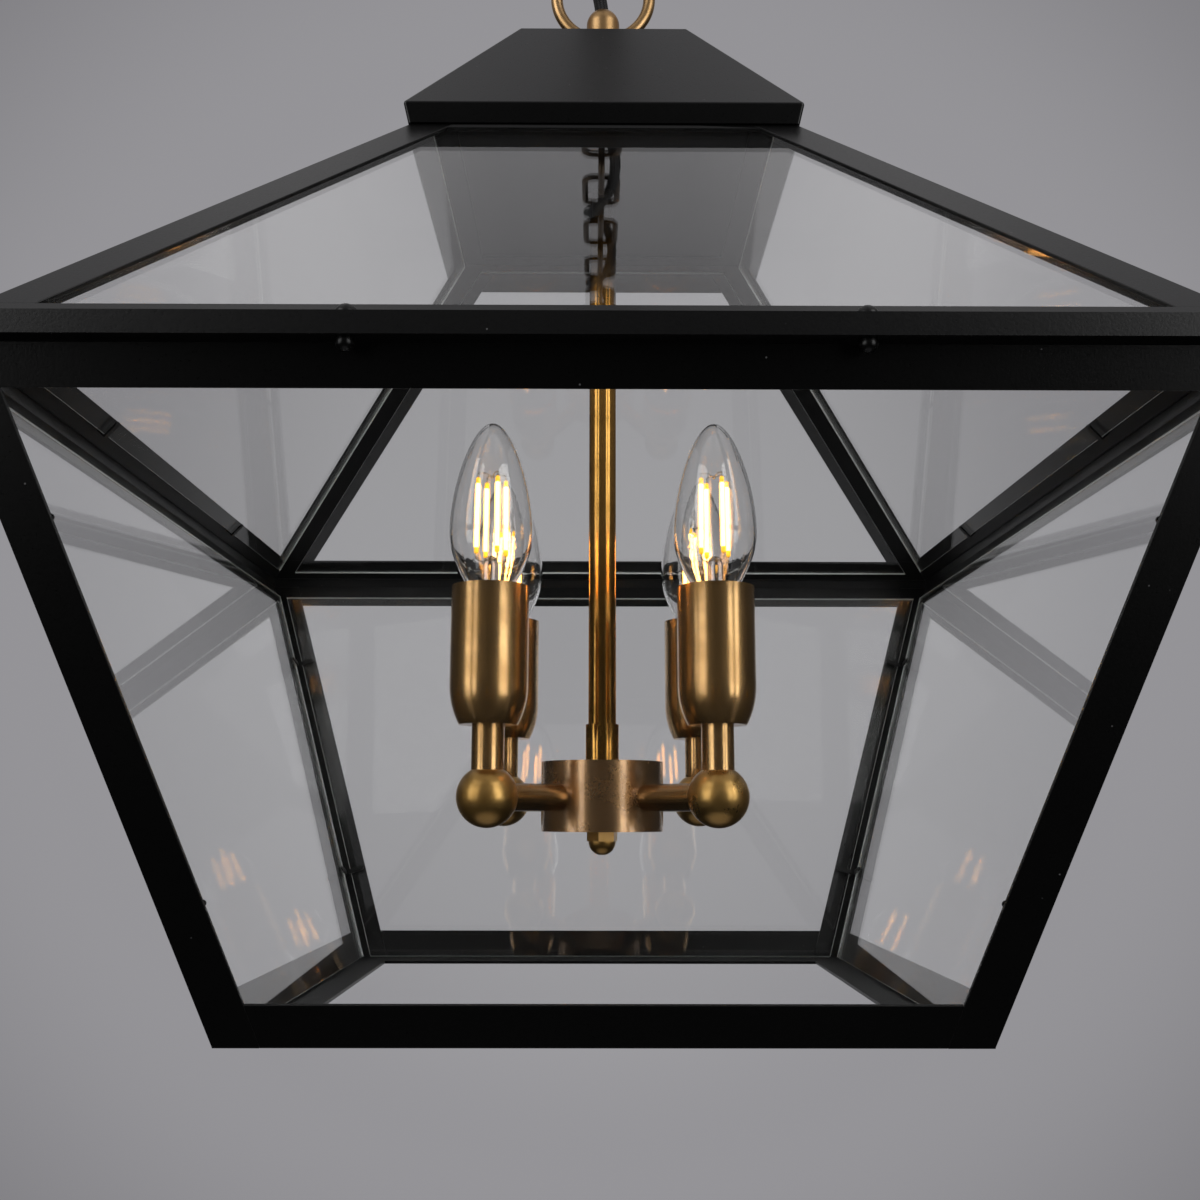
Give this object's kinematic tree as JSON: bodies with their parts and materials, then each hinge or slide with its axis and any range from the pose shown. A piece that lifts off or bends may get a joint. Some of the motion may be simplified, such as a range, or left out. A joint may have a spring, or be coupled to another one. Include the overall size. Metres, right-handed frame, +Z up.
{
  "type": "hanging lantern",
  "caption": "Hanging glazed lantern: square tapered black steel frame, pyramid roof and cap, brass candle lamps on a central rod, hung on a chain with its flex wound round it.",
  "frame": {"origin": "centre of the ceiling plate's upper face, on the ceiling plane", "axes": "+Z up along the chain and the lantern's axis, -Y towards the front face, +X to the viewer's right"},
  "size_m": [0.42, 0.42, 0.9792],
  "materials": {
    "black_steel": "satin powder coat",
    "clear_glass": "clear float glass",
    "bulb_clear_glass": "clear",
    "antique_brass": "aged satin",
    "bronze_brass": "dark satin",
    "zinc_steel": "bright plated",
    "holder_plastic": "matte",
    "chain_bronze": "dark antique",
    "flex_braid": "braided"
  },
  "bodies": {
    "ceiling": {"ceiling_plate": "black_steel", "ceiling_loop": "antique_brass", "ceiling_nipple": "zinc_steel", "flex": "flex_braid"},
    "link_1": {"chain_link_1": "chain_bronze"},
    "link_2": {"chain_link_2": "chain_bronze"},
    "link_3": {"chain_link_3": "chain_bronze"},
    "link_4": {"chain_link_4": "chain_bronze"},
    "link_5": {"chain_link_5": "chain_bronze"},
    "link_6": {"chain_link_6": "chain_bronze"},
    "link_7": {"chain_link_7": "chain_bronze"},
    "link_8": {"chain_link_8": "chain_bronze"},
    "link_9": {"chain_link_9": "chain_bronze"},
    "link_10": {"chain_link_10": "chain_bronze"},
    "link_11": {"chain_link_11": "chain_bronze"},
    "lantern": {"cage_posts": "black_steel", "cage_bottom_rails": "black_steel", "cage_top_rails": "black_steel", "roof_hips": "black_steel", "roof_eave_rails": "black_steel", "roof_top_rails": "black_steel", "top_plate": "black_steel", "roof_cap": "black_steel", "glass_clips": "black_steel", "eave_screws": "black_steel", "eave_nuts": "black_steel", "cage_glass_front": "clear_glass", "cage_glass_right": "clear_glass", "cage_glass_back": "clear_glass", "cage_glass_left": "clear_glass", "roof_glass_front": "clear_glass", "roof_glass_right": "clear_glass", "roof_glass_back": "clear_glass", "roof_glass_left": "clear_glass", "hanging_loop": "antique_brass", "stem_rod": "antique_brass", "rod_collar": "antique_brass", "hub_cap_nut": "antique_brass", "lamp_arms": "antique_brass", "elbow_balls": "antique_brass", "lamp_stems": "antique_brass", "lamp_covers": "antique_brass", "lamp_hub": "bronze_brass", "hub_cover": "bronze_brass", "threaded_nipples": "zinc_steel", "lock_nuts": "zinc_steel", "lampholders": "holder_plastic"},
    "bulb_1": {"bulb_glass_1": "bulb_clear_glass", "bulb_base_1": "zinc_steel"},
    "bulb_2": {"bulb_glass_2": "bulb_clear_glass", "bulb_base_2": "zinc_steel"},
    "bulb_3": {"bulb_glass_3": "bulb_clear_glass", "bulb_base_3": "zinc_steel"},
    "bulb_4": {"bulb_glass_4": "bulb_clear_glass", "bulb_base_4": "zinc_steel"}
  },
  "joints": [
    {"name": "chain_1", "type": "hinge", "parent": "ceiling", "child": "link_1", "pos_m": [0, 0, -0.0697], "axis": [1, 0, 0], "range_deg": [-15, 15], "deforming": ["flex"]},
    {"name": "chain_2", "type": "hinge", "parent": "link_1", "child": "link_2", "pos_m": [0, 0, -0.10695], "axis": [0, 1, 0], "range_deg": [-15, 15], "deforming": ["flex"]},
    {"name": "chain_3", "type": "hinge", "parent": "link_2", "child": "link_3", "pos_m": [0, 0, -0.14525], "axis": [1, 0, 0], "range_deg": [-15, 15], "deforming": ["flex"]},
    {"name": "chain_4", "type": "hinge", "parent": "link_3", "child": "link_4", "pos_m": [0, 0, -0.18355], "axis": [0, 1, 0], "range_deg": [-15, 15], "deforming": ["flex"]},
    {"name": "chain_5", "type": "hinge", "parent": "link_4", "child": "link_5", "pos_m": [0, 0, -0.22185], "axis": [1, 0, 0], "range_deg": [-15, 15], "deforming": ["flex"]},
    {"name": "chain_6", "type": "hinge", "parent": "link_5", "child": "link_6", "pos_m": [0, 0, -0.26015], "axis": [0, 1, 0], "range_deg": [-15, 15], "deforming": ["flex"]},
    {"name": "chain_7", "type": "hinge", "parent": "link_6", "child": "link_7", "pos_m": [0, 0, -0.29845], "axis": [1, 0, 0], "range_deg": [-15, 15], "deforming": ["flex"]},
    {"name": "chain_8", "type": "hinge", "parent": "link_7", "child": "link_8", "pos_m": [0, 0, -0.33675], "axis": [0, 1, 0], "range_deg": [-15, 15], "deforming": ["flex"]},
    {"name": "chain_9", "type": "hinge", "parent": "link_8", "child": "link_9", "pos_m": [0, 0, -0.37505], "axis": [1, 0, 0], "range_deg": [-15, 15], "deforming": ["flex"]},
    {"name": "chain_10", "type": "hinge", "parent": "link_9", "child": "link_10", "pos_m": [0, 0, -0.41335], "axis": [0, 1, 0], "range_deg": [-15, 15], "deforming": ["flex"]},
    {"name": "chain_11", "type": "hinge", "parent": "link_10", "child": "link_11", "pos_m": [0, 0, -0.45165], "axis": [1, 0, 0], "range_deg": [-15, 15], "deforming": ["flex"]},
    {"name": "lantern_swing", "type": "hinge", "parent": "link_11", "child": "lantern", "pos_m": [0, 0, -0.48995], "axis": [0, 1, 0], "range_deg": [-15, 15], "deforming": ["flex"]},
    {"name": "bulb_1_lift", "type": "slide", "parent": "lantern", "child": "bulb_1", "axis": [0, 0, 1], "range_m": [0, 0.03]},
    {"name": "bulb_2_lift", "type": "slide", "parent": "lantern", "child": "bulb_2", "axis": [0, 0, 1], "range_m": [0, 0.03]},
    {"name": "bulb_3_lift", "type": "slide", "parent": "lantern", "child": "bulb_3", "axis": [0, 0, 1], "range_m": [0, 0.03]},
    {"name": "bulb_4_lift", "type": "slide", "parent": "lantern", "child": "bulb_4", "axis": [0, 0, 1], "range_m": [0, 0.03]}
  ]
}
